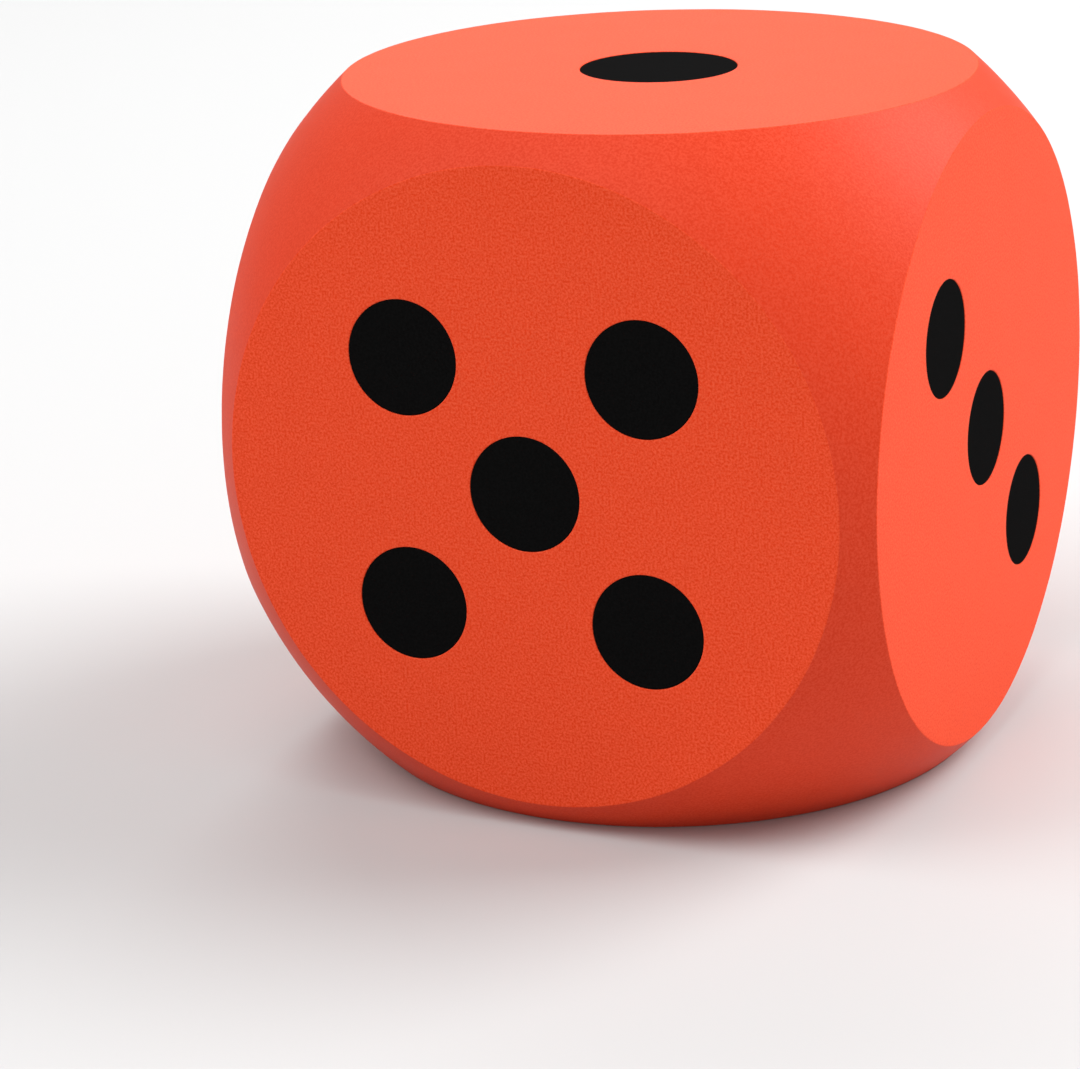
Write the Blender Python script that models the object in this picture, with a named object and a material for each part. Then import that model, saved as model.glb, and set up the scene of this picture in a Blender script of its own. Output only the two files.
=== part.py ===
"""A giant foam dice for lawn games.

The body is a block of four foam slabs glued face to face. The block is cut to a cube, and a sphere
rounds its corners and edges, which leaves six flat round faces. Each pip is a black foam disc glued
into a round pocket, flush with its face.

Units are metres and +Z is up. The origin is the centre of the face that the dice stands on, which
shows six. The front face (-Y) shows five, the top face one and the right-hand face (+X) three, and
opposite faces add up to seven.
"""

import math

import bpy
from mathutils import Matrix, Vector

# The body
SIDE = 0.200  # from one flat face to the opposite one
SPHERE_RADIUS = 0.136  # the sphere that the corners and edges are ground to
SLAB_NAMES = ("foam_slab_bottom", "foam_slab_lower", "foam_slab_upper", "foam_slab_top")
GLUE_GAP = 0.0003  # between two glued slabs, and around and behind a pip

# The pips
PIP_RADIUS = 0.0166
SINGLE_PIP_RADIUS = 0.0229  # the only pip of the top face is a larger one
PIP_THICKNESS = 0.008
PIP_OFFSET = 0.036  # from a face's centre to a corner pip, both across and up
SIX_ACROSS = 0.032  # from a face's centre to each column of the six
SIX_UP = 0.044  # from one pip of such a column to the next

# How finely round shapes are divided
SPHERE_SEGMENTS = 96
SPHERE_RINGS = 48
PIP_SEGMENTS = 40
SHARP_ANGLE = math.radians(30)
POCKET_MARGIN = 0.010  # how far a pocket's cutter stands out of the face

# Materials: colour, roughness
FOAM_LOOK = ((0.76, 0.075, 0.030), 0.85)
PIP_LOOK = ((0.007, 0.006, 0.006), 0.80)

# Where a pip sits on its face, as steps across and up
CORNERS = {"top_left": (-1, 1), "top_right": (1, 1), "bottom_left": (-1, -1), "bottom_right": (1, -1)}
CENTRE = {"centre": (0, 0)}
FALLING_DIAGONAL = {"top_left": (-1, 1), "bottom_right": (1, -1)}
SIDE_MIDDLES = {"middle_left": (-1, 0), "middle_right": (1, 0)}

# Each face has its direction across and its direction up, as someone who looks straight at it sees
# them, and its pips. For the face below, up is towards the front.
FACES = {
    "one": (Vector((1, 0, 0)), Vector((0, 1, 0)), CENTRE),
    "two": (Vector((-1, 0, 0)), Vector((0, 0, 1)), FALLING_DIAGONAL),
    "three": (Vector((0, 1, 0)), Vector((0, 0, 1)), FALLING_DIAGONAL | CENTRE),
    "four": (Vector((0, -1, 0)), Vector((0, 0, 1)), CORNERS),
    "five": (Vector((1, 0, 0)), Vector((0, 0, 1)), CORNERS | CENTRE),
    "six": (Vector((1, 0, 0)), Vector((0, -1, 0)), CORNERS | SIDE_MIDDLES),
}


def clear_scene():
    for old in list(bpy.data.objects):
        bpy.data.objects.remove(old, do_unlink=True)


def new_collection(name):
    collection = bpy.data.collections.new(name)
    bpy.context.scene.collection.children.link(collection)
    return collection


def move_to(piece, collection):
    """Leaves an object in this collection only."""
    for old in list(piece.users_collection):
        old.objects.unlink(piece)
    collection.objects.link(piece)


def new_material(name, look):
    colour, roughness = look
    material = bpy.data.materials.new(name)
    material.use_nodes = True
    material.diffuse_color = (*colour, 1)
    shader = material.node_tree.nodes["Principled BSDF"]
    shader.inputs["Base Color"].default_value = (*colour, 1)
    shader.inputs["Roughness"].default_value = roughness
    shader.inputs["Metallic"].default_value = 0
    return material


def add_centre():
    """The empty at the middle of the dice, which every piece is placed from."""
    centre = bpy.data.objects.new("dice_centre", None)
    centre.empty_display_size = SIDE / 4
    centre.location = (0, 0, SIDE / 2)
    bpy.context.scene.collection.objects.link(centre)
    return centre


def add_sphere_cutter(centre, cutters):
    """The sphere that the block's corners and edges are ground to."""
    bpy.ops.mesh.primitive_uv_sphere_add(
        segments=SPHERE_SEGMENTS, ring_count=SPHERE_RINGS, radius=SPHERE_RADIUS
    )
    sphere = bpy.context.object
    sphere.name = "grinding_sphere"
    sphere.parent = centre
    move_to(sphere, cutters)
    return sphere


def pip_places():
    """For each pip: its name, its radius, its middle on the face, and how it is turned."""
    for face, (across, up, pips) in FACES.items():
        outward = across.cross(up)
        turn = Matrix((across, up, outward)).transposed().to_euler()
        for place, (steps_across, steps_up) in pips.items():
            step = (SIX_ACROSS, SIX_UP) if face == "six" else (PIP_OFFSET, PIP_OFFSET)
            on_face = outward * SIDE / 2 + across * steps_across * step[0] + up * steps_up * step[1]
            radius = SINGLE_PIP_RADIUS if face == "one" else PIP_RADIUS
            yield f"pip_{face}_{place}", radius, on_face, turn


def add_disc(name, centre, collection, radius, on_face, turn, inner, outer):
    """A round disc across a face's plane, from inner metres below it to outer metres above it."""
    bpy.ops.mesh.primitive_cylinder_add(vertices=PIP_SEGMENTS, radius=radius, depth=inner + outer)
    disc = bpy.context.object
    disc.name = name
    disc.parent = centre
    disc.rotation_euler = turn
    middle = Vector((0, 0, (outer - inner) / 2))
    middle.rotate(turn)
    disc.location = on_face + middle
    move_to(disc, collection)
    return disc


def add_pip(name, centre, parts, radius, on_face, turn, material):
    pip = add_disc(name, centre, parts, radius, on_face, turn, PIP_THICKNESS, 0)
    pip.data.materials.append(material)
    smooth_round_sides(pip)


def add_pocket_cutter(name, centre, pockets, radius, on_face, turn):
    depth = PIP_THICKNESS + GLUE_GAP
    add_disc(
        f"pocket_{name}", centre, pockets, radius + GLUE_GAP, on_face, turn, depth, POCKET_MARGIN
    )


def add_slab(name, bottom, top, centre, parts, sphere, pockets, material):
    """One slab of the block, between two heights measured from the dice's centre."""
    bpy.ops.mesh.primitive_cube_add(size=1, scale=(SIDE, SIDE, top - bottom))
    slab = bpy.context.object
    bpy.ops.object.transform_apply(location=False, rotation=False, scale=True)
    slab.name = name
    slab.parent = centre
    slab.location = (0, 0, (top + bottom) / 2)
    slab.data.materials.append(material)

    rounding = slab.modifiers.new("ground_to_sphere", "BOOLEAN")
    rounding.operation = "INTERSECT"
    rounding.object = sphere
    routing = slab.modifiers.new("pip_pockets", "BOOLEAN")
    routing.operation = "DIFFERENCE"
    routing.operand_type = "COLLECTION"
    routing.collection = pockets

    bpy.ops.object.convert(target="MESH")
    smooth_round_sides(slab)
    move_to(slab, parts)


def smooth_round_sides(piece):
    piece.data.shade_smooth()
    piece.data.set_sharp_from_angle(angle=SHARP_ANGLE)


def hide_cutters(cutters):
    for cutter in cutters.all_objects:
        cutter.display_type = "WIRE"
        cutter.hide_render = True


def main():
    clear_scene()
    parts = new_collection("giant_foam_dice")
    cutters = new_collection("cutters")
    pockets = bpy.data.collections.new("pocket_cutters")
    cutters.children.link(pockets)
    foam = new_material("orange_foam", FOAM_LOOK)
    black = new_material("black_foam", PIP_LOOK)
    centre = add_centre()

    sphere = add_sphere_cutter(centre, cutters)
    for name, radius, on_face, turn in pip_places():
        add_pocket_cutter(name, centre, pockets, radius, on_face, turn)
        add_pip(name, centre, parts, radius, on_face, turn, black)

    slab_pitch = SIDE / len(SLAB_NAMES)
    for number, name in enumerate(SLAB_NAMES):
        bottom = number * slab_pitch - SIDE / 2
        top = bottom + slab_pitch
        if number > 0:
            bottom += GLUE_GAP / 2
        if number < len(SLAB_NAMES) - 1:
            top -= GLUE_GAP / 2
        add_slab(name, bottom, top, centre, parts, sphere, pockets, foam)
    hide_cutters(cutters)


main()
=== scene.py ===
"""The looks of a giant foam dice: ground orange foam with black foam pips.

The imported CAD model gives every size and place. One fine surface is made for the whole ground block,
because it was ground in one go, and is then cut along its glue lines into the four slabs. Each pip is
a disc of its own. Lengths are in metres, and shapes are made around the dice's centre.
"""

import math

import bmesh
import bpy
from mathutils import Matrix, Vector, noise
from mathutils.geometry import delaunay_2d_cdt
from mathutils.kdtree import KDTree


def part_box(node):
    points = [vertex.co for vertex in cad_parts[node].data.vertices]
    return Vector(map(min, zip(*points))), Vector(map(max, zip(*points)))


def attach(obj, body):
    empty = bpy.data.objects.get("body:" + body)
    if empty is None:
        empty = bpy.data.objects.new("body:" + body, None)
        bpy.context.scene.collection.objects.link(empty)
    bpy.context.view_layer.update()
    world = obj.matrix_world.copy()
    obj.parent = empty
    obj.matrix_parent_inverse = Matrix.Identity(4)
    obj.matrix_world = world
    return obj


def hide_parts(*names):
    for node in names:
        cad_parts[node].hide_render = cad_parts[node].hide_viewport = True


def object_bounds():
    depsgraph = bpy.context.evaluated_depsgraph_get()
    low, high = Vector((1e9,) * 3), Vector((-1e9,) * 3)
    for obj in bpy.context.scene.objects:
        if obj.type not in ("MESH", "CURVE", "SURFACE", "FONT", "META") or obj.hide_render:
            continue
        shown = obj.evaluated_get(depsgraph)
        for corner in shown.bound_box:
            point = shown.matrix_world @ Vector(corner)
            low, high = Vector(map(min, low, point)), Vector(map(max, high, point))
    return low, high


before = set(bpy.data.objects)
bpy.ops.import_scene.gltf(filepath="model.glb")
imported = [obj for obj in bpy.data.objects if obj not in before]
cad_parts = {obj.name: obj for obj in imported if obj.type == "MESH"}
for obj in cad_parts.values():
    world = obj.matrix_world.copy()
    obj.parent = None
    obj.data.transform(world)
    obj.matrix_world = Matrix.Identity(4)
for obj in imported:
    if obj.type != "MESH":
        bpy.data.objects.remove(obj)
CAD_LOW, CAD_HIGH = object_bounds()

# Sizes that the frame gives
CENTRE = (CAD_LOW + CAD_HIGH) / 2
HALF_SIDE = (CAD_HIGH.z - CAD_LOW.z) / 2
SLABS = sorted((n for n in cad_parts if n.startswith("foam_slab")), key=lambda n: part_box(n)[0].z)
PIPS = sorted(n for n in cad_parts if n.startswith("pip_"))
SPHERE_RADIUS = max((v.co - CENTRE).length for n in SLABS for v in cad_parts[n].data.vertices)

# How fine the surface is
SPACING = 0.0015  # between neighbouring points of a flat face
INSIDE_SPACING = 0.006  # the same on the glued faces between the slabs
RIM_POINTS = 384  # around each flat face; a multiple of 8, so that neighbouring faces meet
BAND_RINGS = 12  # from a flat face's edge to halfway to the next face
PIP_POINTS = 96  # around each pip
SHORTEST_SHARE = 0.35  # of SPACING; a cut makes no shorter edge across a face than this
CLEARANCE = 0.6  # of the spacing, between an outline and the nearest point inside it
SAME_PLACE = 1e-6  # points nearer to each other than this are one point
FLAT_ACCURACY = 1e-9  # the same while a flat outline is filled

# Edges
EDGE_ROUND = 0.0005  # where a flat face meets the sphere
EDGE_STEPS = 4
RIM_ROUND = 0.00025  # around a pocket and around a pip
RIM_STEPS = 3
SUPPORT = 0.0003  # the ring beside a rounded edge that keeps the shading of its flat side flat
TIGHT_FIT = 0.00005  # between a pip and its pocket
PIP_SINK = 0.0001  # how far a pip lies below its face
POCKET_EXTRA = 0.0001  # how much deeper a pocket is than its pip
WALL_RINGS = 3

# The ground foam is not quite even: long low swells, and a finer unevenness on them
SWELL_HEIGHT, SWELL_LENGTH = 0.00006, 0.016
RIPPLE_HEIGHT, RIPPLE_LENGTH = 0.000018, 0.0042
FADE = 0.002  # the unevenness dies out over this distance from a pip
SHARP_ANGLE = math.radians(40)

# Foam colours: the flat faces are cut, and the sphere between them is ground and a little darker
FLAT_COLOUR, BAND_COLOUR = (0.80, 0.069, 0.021), (0.69, 0.0525, 0.0175)
PIP_DARK, PIP_LIGHT = (0.0032, 0.0031, 0.0031), (0.0054, 0.0052, 0.0052)
FLOOR_COLOUR = (0.55, 0.55, 0.55)

# The grain of the foam
GRAIN_SCALE = 1500  # noise cells in a metre
GRAIN_RANGE = (0.38, 0.62)  # the noise values of the darkest and of the lightest grains
GRAIN_SPREAD = (0.07, 0.36, 0.66)  # of each colour channel, from the mean to these grains
MOTTLE_SCALE = 90
NOISE_RANGE = (0.25, 0.75)  # where most values of a noise lie

# How rough each foam is, and how shiny
FLAT_ROUGHNESS, BAND_ROUGHNESS, PIP_ROUGHNESS = (0.50, 0.62), (0.42, 0.50), (0.85, 0.95)
FOAM_GLOSS, PIP_GLOSS, FLOOR_GLOSS = 0.09, 0.006, 0.1
FOAM_RELIEF, PIP_RELIEF = 0.0001, 0.00008  # the height of the grain's bump

# Camera, as seen from the dice's centre
AZIMUTH, ELEVATION, ROLL = math.radians(25.7), math.radians(18.6), math.radians(-2.1)
DISTANCE, SIDE_STEP, RISE = 1.054, -0.0394, -0.0398
LENS_MM, SENSOR_MM = 117.3, 36

# The studio: its square soft lights with their azimuth (0 in front, 90 on the right), elevation and power
LIGHT_SIZE, LIGHT_DISTANCE = 2.2, 3.4
LIGHTS = {
    "key_behind_right": (130, 40, 138),
    "overhead": (-15, 66, 50),
    "rim_behind_left": (-150, 40, 45),
    "fill_left": (-60, 40, 35),
    "fill_front": (33, 10, 16),
}
SKY_STRENGTH = 0.37
FLOOR_REACH, FLOOR_PARTS = 12, 8
FLOOR_GAP = 0.0002  # so that the unevenness below doesn't dip into the floor


def axis_turn(axis, sign):
    """The rotation from a face's own frame, with +Z outwards, to the dice's frame."""
    outward = Vector((0, 0, 0))
    outward[axis] = sign
    across = Vector((0, 0, 0))
    across[(axis + 1) % 3] = 1
    return Matrix((across, outward.cross(across), outward)).transposed()


class Pip:
    """Where one pip is: its face, its middle in the face's own frame, its radius and thickness."""

    def __init__(self, node):
        low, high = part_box(node)
        size = high - low
        middle = (low + high) / 2 - CENTRE
        self.node = node
        self.axis = min(range(3), key=lambda i: size[i])
        self.sign = 1 if middle[self.axis] > 0 else -1
        self.turn = axis_turn(self.axis, self.sign)
        self.middle = (self.turn.transposed() @ middle).to_2d()
        self.radius = max(size) / 2
        self.thickness = size[self.axis]


def circle(radius, count, middle=(0, 0)):
    """Points around a circle, anticlockwise, starting on the +X side."""
    angles = (2 * math.pi * i / count for i in range(count))
    return [Vector((middle[0] + radius * math.cos(a), middle[1] + radius * math.sin(a))) for a in angles]


def add_ring(bm, turn, flat_points, height):
    """A closed ring of vertices at one height over the dice's centre, or a height for each point."""
    heights = height if isinstance(height, list) else [height] * len(flat_points)
    return [bm.verts.new(turn @ p.to_3d() + turn.col[2] * h) for p, h in zip(flat_points, heights)]


def bridge(bm, ring_a, ring_b):
    for i in range(len(ring_a)):
        j = (i + 1) % len(ring_a)
        bm.faces.new((ring_a[i], ring_a[j], ring_b[j], ring_b[i]))


def bridge_all(bm, rings):
    for ring_a, ring_b in zip(rings, rings[1:]):
        bridge(bm, ring_a, ring_b)


def honeycomb(outer, holes, spacing):
    """Evenly spread points inside a circle of radius outer, clear of holes of (middle, radius)."""
    clear = CLEARANCE * spacing
    row_height = spacing * math.sqrt(3) / 2
    rows = int(outer / row_height) + 1
    columns = int(outer / spacing) + 1
    points = []
    for row in range(-rows, rows + 1):
        for column in range(-columns, columns + 1):
            p = Vector(((column + row % 2 / 2) * spacing, row * row_height))
            if p.length < outer - clear and all((p - m).length > r + clear for m, r in holes):
                points.append(p)
    return points


def fill_plane(bm, turn, known, edges, points, holes=()):
    """Fills the outline that edges draw between known vertices with triangles, through the points.

    The edges are pairs of places in known, and the points lie in the same plane. Triangles inside
    holes of (middle, radius) are left out.
    """
    height = known[0].co.dot(turn.col[2])
    to_flat = turn.transposed()
    flat = [(to_flat @ v.co).to_2d() for v in known] + points
    placed, _, triangles, origins, _, _ = delaunay_2d_cdt(flat, edges, [], 1, FLAT_ACCURACY)
    vertices = {i: known[o[0]] for i, o in enumerate(origins) if o and o[0] < len(known)}
    for corners in triangles:
        middle = sum((placed[i] for i in corners), Vector((0, 0))) / 3
        if any((middle - m).length < r - SAME_PLACE for m, r in holes):
            continue
        for i in corners:
            if i not in vertices:
                vertices[i] = bm.verts.new(turn @ placed[i].to_3d() + turn.col[2] * height)
        bm.faces.new([vertices[i] for i in corners])


def fill_flat(bm, turn, rings, holes, points):
    """Fills the flat face between an outer ring and the rings around its holes, through the points."""
    edges = []
    first = 0
    for ring in rings:
        count = len(ring)
        edges += [(first + i, first + (i + 1) % count) for i in range(count)]
        first += count
    fill_plane(bm, turn, [v for ring in rings for v in ring], edges, points, holes)


def rounded(radius, start, end, steps):
    """(out, up) steps along an arc of a small round edge, between two angles above the horizontal."""
    angles = (start + (end - start) * k / steps for k in range(steps + 1))
    return [(radius * math.cos(a), radius * math.sin(a)) for a in angles]


def add_face_sector(bm, turn, pips):
    """One flat face with its pockets, and its share of the sphere around it."""
    # The round edge touches the flat face and the sphere, and this is the middle of its arc.
    arc_up = HALF_SIDE - EDGE_ROUND
    arc_out = math.sqrt((SPHERE_RADIUS - EDGE_ROUND) ** 2 - arc_up**2)
    on_sphere = math.atan2(arc_up, arc_out)
    arc = rounded(EDGE_ROUND, math.pi / 2, on_sphere, EDGE_STEPS)
    rings = [add_ring(bm, turn, circle(arc_out - SUPPORT, RIM_POINTS), HALF_SIDE)]
    rings += [add_ring(bm, turn, circle(arc_out + o, RIM_POINTS), arc_up + u) for o, u in arc]

    # Over the sphere, each ring is nearer to the planes where this face's share ends.
    start = math.pi / 2 - on_sphere + SUPPORT / SPHERE_RADIUS
    ways = circle(1, RIM_POINTS)
    ends = [math.atan(1 / max(abs(w.x), abs(w.y))) for w in ways]
    for k in range(BAND_RINGS + 1):
        tilts = [start + (end - start) * k / BAND_RINGS for end in ends]
        points = [w * SPHERE_RADIUS * math.sin(t) for w, t in zip(ways, tilts)]
        rings.append(add_ring(bm, turn, points, [SPHERE_RADIUS * math.cos(t) for t in tilts]))
    bridge_all(bm, rings)

    holes = []
    hole_rings = []
    for pip in pips:
        radius = pip.radius + TIGHT_FIT + RIM_ROUND
        holes.append((pip.middle, radius + SUPPORT))
        hole_rings.append(add_pocket(bm, turn, pip, radius))
    fill_flat(bm, turn, [rings[0], *hole_rings], holes, honeycomb(arc_out - SUPPORT, holes, SPACING))


def add_pocket(bm, turn, pip, radius):
    """A pip's pocket with its rounded rim. Returns the ring around it on the flat face."""
    depth = PIP_SINK + pip.thickness + POCKET_EXTRA
    rings = [add_ring(bm, turn, circle(radius + SUPPORT, PIP_POINTS, pip.middle), HALF_SIDE)]
    for out, up in rounded(RIM_ROUND, math.pi / 2, math.pi, RIM_STEPS):
        rings.append(
            add_ring(bm, turn, circle(radius + out, PIP_POINTS, pip.middle), HALF_SIDE - RIM_ROUND + up)
        )
    wall = circle(radius - RIM_ROUND, PIP_POINTS, pip.middle)
    for k in range(1, WALL_RINGS + 1):
        rings.append(add_ring(bm, turn, wall, HALF_SIDE - RIM_ROUND - (depth - RIM_ROUND) * k / WALL_RINGS))
    bridge_all(bm, rings)
    bm.faces.new(rings[-1])
    return rings[0]


def unevenness(p):
    swell = SWELL_HEIGHT * noise.noise(p / SWELL_LENGTH)
    return swell + RIPPLE_HEIGHT * noise.noise(p / RIPPLE_LENGTH)


def relief_share(p, pips):
    """How much of the unevenness a point takes: none in and at a pocket, all of it away from it."""
    share = 1
    for pip in pips:
        local = pip.turn.transposed() @ p
        if local.z < HALF_SIDE - pip.thickness - SPACING:
            continue
        gap = (local.to_2d() - pip.middle).length - pip.radius - TIGHT_FIT - RIM_ROUND
        share = min(share, max(0, gap / FADE))
    return share


def add_block(pips):
    """The whole ground block with its pockets, as one closed surface."""
    bm = bmesh.new()
    for axis in range(3):
        for sign in (1, -1):
            turn = axis_turn(axis, sign)
            add_face_sector(bm, turn, [p for p in pips if (p.axis, p.sign) == (axis, sign)])
    bmesh.ops.remove_doubles(bm, verts=bm.verts, dist=SAME_PLACE)
    bmesh.ops.recalc_face_normals(bm, faces=bm.faces)
    bm.normal_update()
    moves = [v.normal * unevenness(v.co) * relief_share(v.co, pips) for v in bm.verts]
    for v, move in zip(bm.verts, moves):
        v.co += move
    return bm


def bisect(bm, height, side=1, clear_outer=False):
    """Cuts along a level plane, and may take away what lies beyond it on one side, 1 up or -1 down."""
    geometry = bm.verts[:] + bm.edges[:] + bm.faces[:]
    return bmesh.ops.bisect_plane(
        bm, geom=geometry, dist=SAME_PLACE, plane_co=(0, 0, height), plane_no=(0, 0, side),
        clear_outer=clear_outer,
    )


def cut_along(bm, height):
    """Divides the faces that cross a level plane, and makes no very short edges beside the cut."""
    cut = bisect(bm, height)
    line = [g for g in cut["geom_cut"] if isinstance(g, bmesh.types.BMVert)]
    on_cut = set(line)
    merge = {}
    for v in line:
        for edge in v.link_edges:
            other = edge.other_vert(v)
            if other in on_cut or other in merge or edge.calc_length() > SHORTEST_SHARE * SPACING:
                continue
            if not falls_flat(other, v, on_cut, merge):
                merge[other] = v
    bmesh.ops.weld_verts(bm, targetmap=merge)


def falls_flat(vertex, target, on_cut, merge):
    """Whether a face would come to lie in the cut if a vertex moved onto a target in it."""
    for face in vertex.link_faces:
        corners = {merge.get(v, v) for v in face.verts} - {vertex} | {target}
        if len(corners) > 2 and corners <= on_cut:
            return True
    return False


def close_cut(bm):
    """Closes the open outline that a level cut left, with triangles that grow away from it."""
    rim = [v for v in bm.verts if v.is_boundary]
    place = {v: i for i, v in enumerate(rim)}
    edges = [(place[e.verts[0]], place[e.verts[1]]) for e in bm.edges if e.is_boundary]
    tree = KDTree(len(rim))
    for v, i in place.items():
        tree.insert(v.co.to_2d().to_3d(), i)
    tree.balance()
    grid = honeycomb(SPHERE_RADIUS, [], INSIDE_SPACING)
    grid = [p for p in grid if tree.find(p.to_3d())[2] > CLEARANCE * INSIDE_SPACING]
    fill_plane(bm, Matrix.Identity(3), rim, edges, grid)


def slab_from(block, bottom, top):
    """The part of the block between two heights, closed with flat faces."""
    bm = block.copy()
    for height, side in ((bottom, -1), (top, 1)):
        if height is not None:
            bisect(bm, height, side, clear_outer=True)
            close_cut(bm)
    return bm


def is_band(face):
    """Whether a face of the block lies on the sphere that was ground between the flat faces."""
    middle = face.calc_center_median()
    below_flat = max(map(abs, middle)) < HALF_SIDE - EDGE_ROUND / 4
    return below_flat and middle.length > SPHERE_RADIUS - EDGE_ROUND


def finish_mesh(bm, name, materials):
    """Turns a shape made around the dice's centre into an object in the row frame."""
    bmesh.ops.triangulate(bm, faces=bm.faces)
    bmesh.ops.recalc_face_normals(bm, faces=bm.faces)
    if len(materials) > 1:
        for face in bm.faces:
            face.material_index = int(is_band(face))
    bmesh.ops.translate(bm, verts=bm.verts, vec=CENTRE)
    mesh = bpy.data.meshes.new(name)
    bm.to_mesh(mesh)
    bm.free()
    mesh.shade_smooth()
    mesh.set_sharp_from_angle(angle=SHARP_ANGLE)
    for material in materials:
        mesh.materials.append(material)
    piece = bpy.data.objects.new(name, mesh)
    bpy.context.scene.collection.objects.link(piece)
    return piece


def declare(piece, node):
    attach(piece, "root")
    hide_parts(node)


def make_slabs(pips, flat_foam, band_foam):
    block = add_block(pips)
    seams = [(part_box(a)[1].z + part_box(b)[0].z) / 2 - CENTRE.z for a, b in zip(SLABS, SLABS[1:])]
    for height in seams:
        cut_along(block, height)
    for node, bottom, top in zip(SLABS, [None, *seams], [*seams, None]):
        piece = finish_mesh(slab_from(block, bottom, top), f"{node}_ground", [flat_foam, band_foam])
        declare(piece, node)
    block.free()


def make_pip(pip, material):
    """A die-cut disc with slightly rounded rims, a little below its face."""
    bm = bmesh.new()
    top = HALF_SIDE - PIP_SINK
    bottom = top - pip.thickness
    middle = pip.middle
    inner = pip.radius - RIM_ROUND
    rings = [add_ring(bm, pip.turn, circle(inner - SUPPORT, PIP_POINTS, middle), top)]
    for out, up in rounded(RIM_ROUND, math.pi / 2, 0, RIM_STEPS):
        rings.append(add_ring(bm, pip.turn, circle(inner + out, PIP_POINTS, middle), top - RIM_ROUND + up))
    for out, up in rounded(RIM_ROUND, 0, -math.pi / 2, RIM_STEPS):
        rings.append(add_ring(bm, pip.turn, circle(inner + out, PIP_POINTS, middle), bottom + RIM_ROUND + up))
    bridge_all(bm, rings)
    bm.faces.new(rings[-1])
    grid = [p + middle for p in honeycomb(inner - SUPPORT, [], SPACING)]
    fill_flat(bm, pip.turn, [rings[0]], [], grid)
    bm.normal_update()
    outward = pip.turn.col[2]
    for v in bm.verts:
        edge_gap = inner - ((pip.turn.transposed() @ v.co).to_2d() - middle).length
        if v.co.dot(outward) > top - RIM_ROUND / 2:
            v.co += outward * min(0, unevenness(v.co) - SWELL_HEIGHT / 2) * min(1, max(0, edge_gap / FADE))
    piece = finish_mesh(bm, f"{pip.node}_disc", [material])
    declare(piece, pip.node)


def new_material(name):
    material = bpy.data.materials.new(name)
    material.use_nodes = True
    return material, material.node_tree.nodes, material.node_tree.links


def noise_node(nodes, links, place, scale, detail, roughness=0.5):
    texture = nodes.new("ShaderNodeTexNoise")
    texture.inputs["Scale"].default_value = scale
    texture.inputs["Detail"].default_value = detail
    texture.inputs["Roughness"].default_value = roughness
    links.new(place, texture.inputs["Vector"])
    return texture.outputs["Fac"]


def ramp_node(nodes, links, value, stops):
    """A colour ramp through (position, colour) stops."""
    ramp = nodes.new("ShaderNodeValToRGB")
    elements = ramp.color_ramp.elements
    while len(elements) < len(stops):
        elements.new(0.5)
    for element, (position, colour) in zip(elements, stops):
        element.position = position
        element.color = (*colour, 1)
    links.new(value, ramp.inputs["Fac"])
    return ramp.outputs["Color"]


def range_node(nodes, links, value, low, high):
    """Maps a noise value to a range."""
    mapped = nodes.new("ShaderNodeMapRange")
    mapped.inputs["From Min"].default_value, mapped.inputs["From Max"].default_value = NOISE_RANGE
    mapped.inputs["To Min"].default_value = low
    mapped.inputs["To Max"].default_value = high
    links.new(value, mapped.inputs["Value"])
    return mapped.outputs["Result"]


def foam_material(name, colour, grain_share, roughness):
    """Fine-pored foam: a grain of cut cells whose light walls are paler, and slight mottling."""
    material, nodes, links = new_material(name)
    shader = nodes["Principled BSDF"]
    place = nodes.new("ShaderNodeTexCoord").outputs["Object"]
    grain = noise_node(nodes, links, place, GRAIN_SCALE, 3, 0.6)
    dark = tuple(c * (1 - s * grain_share) for c, s in zip(colour, GRAIN_SPREAD))
    light = tuple(c * (1 + s * grain_share) for c, s in zip(colour, GRAIN_SPREAD))
    grain_colour = ramp_node(nodes, links, grain, list(zip(GRAIN_RANGE, (dark, light))))
    mottle = noise_node(nodes, links, place, MOTTLE_SCALE, 3)
    mottle_colour = ramp_node(nodes, links, mottle, [(0.3, (0.98,) * 3), (0.7, (1.0,) * 3)])
    mix = nodes.new("ShaderNodeMix")
    mix.data_type = "RGBA"
    mix.blend_type = "MULTIPLY"
    mix.inputs["Factor"].default_value = 1
    links.new(grain_colour, mix.inputs["A"])
    links.new(mottle_colour, mix.inputs["B"])
    links.new(mix.outputs["Result"], shader.inputs["Base Color"])
    links.new(range_node(nodes, links, grain, *roughness), shader.inputs["Roughness"])
    shader.inputs["Specular IOR Level"].default_value = FOAM_GLOSS
    add_bump(nodes, links, shader, grain, FOAM_RELIEF)
    return material


def add_bump(nodes, links, shader, height, distance):
    bump = nodes.new("ShaderNodeBump")
    bump.inputs["Strength"].default_value = 0.5
    bump.inputs["Distance"].default_value = distance
    links.new(height, bump.inputs["Height"])
    links.new(bump.outputs["Normal"], shader.inputs["Normal"])


def pip_material():
    """Black foam with the same kind of grain, and almost no gloss."""
    material, nodes, links = new_material("black_foam_cut")
    shader = nodes["Principled BSDF"]
    place = nodes.new("ShaderNodeTexCoord").outputs["Object"]
    grain = noise_node(nodes, links, place, GRAIN_SCALE, 2, 0.6)
    grain_colour = ramp_node(nodes, links, grain, [(0.3, PIP_DARK), (0.7, PIP_LIGHT)])
    links.new(grain_colour, shader.inputs["Base Color"])
    links.new(range_node(nodes, links, grain, *PIP_ROUGHNESS), shader.inputs["Roughness"])
    shader.inputs["Specular IOR Level"].default_value = PIP_GLOSS
    add_bump(nodes, links, shader, grain, PIP_RELIEF)
    return material


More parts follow.
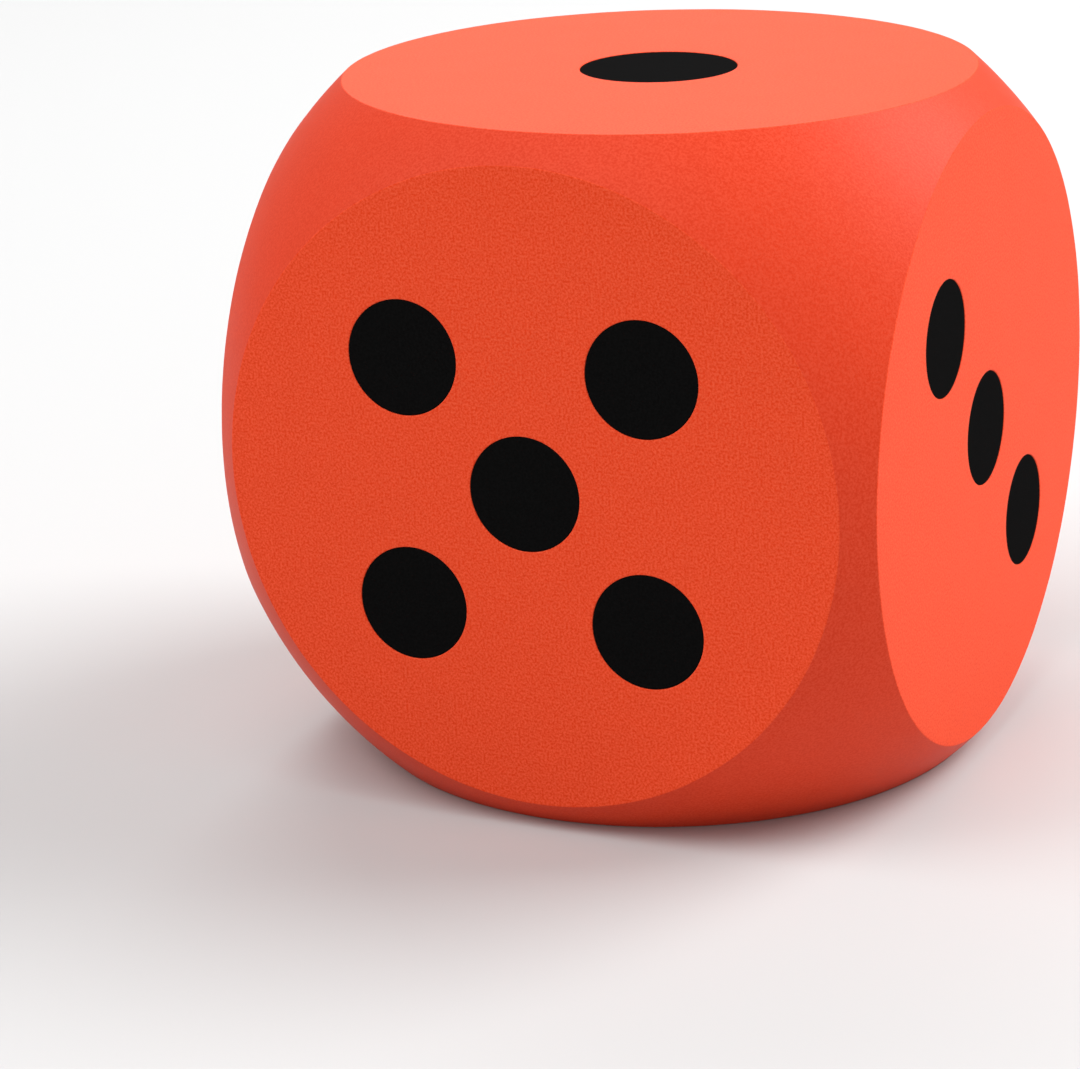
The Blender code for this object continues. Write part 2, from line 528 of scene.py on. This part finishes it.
def make_camera():
    """Sets up the camera at the photo's viewing angle."""
    back = Vector((math.sin(AZIMUTH) * math.cos(ELEVATION),
                   -math.cos(AZIMUTH) * math.cos(ELEVATION), math.sin(ELEVATION)))
    right = Vector((math.cos(AZIMUTH), math.sin(AZIMUTH), 0))
    up = back.cross(right)
    turn = Matrix((right, up, back)).transposed() @ Matrix.Rotation(ROLL, 3, "Z")
    lens = bpy.data.cameras.new("camera")
    lens.lens = LENS_MM
    lens.sensor_width = SENSOR_MM
    camera = bpy.data.objects.new("camera", lens)
    bpy.context.scene.collection.objects.link(camera)
    place = CENTRE + back * DISTANCE + right * SIDE_STEP + up * RISE
    camera.matrix_world = Matrix.LocRotScale(place, turn.to_quaternion(), None)
    bpy.context.scene.camera = camera


def area_light(name, azimuth, elevation, power):
    """A square soft light that looks at the dice's centre."""
    azimuth, elevation = math.radians(azimuth), math.radians(elevation)
    away = Vector((math.sin(azimuth) * math.cos(elevation),
                   -math.cos(azimuth) * math.cos(elevation), math.sin(elevation)))
    data = bpy.data.lights.new(name, "AREA")
    data.size = LIGHT_SIZE
    data.energy = power
    light = bpy.data.objects.new(name, data)
    light.location = CENTRE + away * LIGHT_DISTANCE
    light.rotation_euler = (-away).to_track_quat("-Z", "Y").to_euler()
    bpy.context.scene.collection.objects.link(light)


def make_studio():
    """Soft light from all sides, and the lights."""
    world = bpy.data.worlds.new("studio")
    world.use_nodes = True
    sky = world.node_tree.nodes["Background"]
    sky.inputs["Color"].default_value = (1, 1, 1, 1)
    sky.inputs["Strength"].default_value = SKY_STRENGTH
    bpy.context.scene.world = world
    for name, (azimuth, elevation, power) in LIGHTS.items():
        area_light(name, azimuth, elevation, power)


def make_floor():
    bm = bmesh.new()
    bmesh.ops.create_grid(bm, x_segments=FLOOR_PARTS, y_segments=FLOOR_PARTS, size=FLOOR_REACH)
    mesh = bpy.data.meshes.new("studio_floor")
    bm.to_mesh(mesh)
    bm.free()
    floor = bpy.data.objects.new("studio_floor", mesh)
    floor.location = (0, 0, CAD_LOW.z - FLOOR_GAP)
    bpy.context.scene.collection.objects.link(floor)
    material, nodes, _ = new_material("pale_floor")
    shader = nodes["Principled BSDF"]
    shader.inputs["Base Color"].default_value = (*FLOOR_COLOUR, 1)
    shader.inputs["Roughness"].default_value = 0.9
    shader.inputs["Specular IOR Level"].default_value = FLOOR_GLOSS
    mesh.materials.append(material)


def main():
    bpy.context.scene.view_settings.view_transform = "Standard"
    pips = [Pip(node) for node in PIPS]
    flat_foam = foam_material("orange_foam_flat", FLAT_COLOUR, 1.0, FLAT_ROUGHNESS)
    band_foam = foam_material("orange_foam_ground", BAND_COLOUR, 0.6, BAND_ROUGHNESS)
    make_slabs(pips, flat_foam, band_foam)
    black = pip_material()
    for pip in pips:
        make_pip(pip, black)
    make_camera()
    make_studio()
    make_floor()


main()
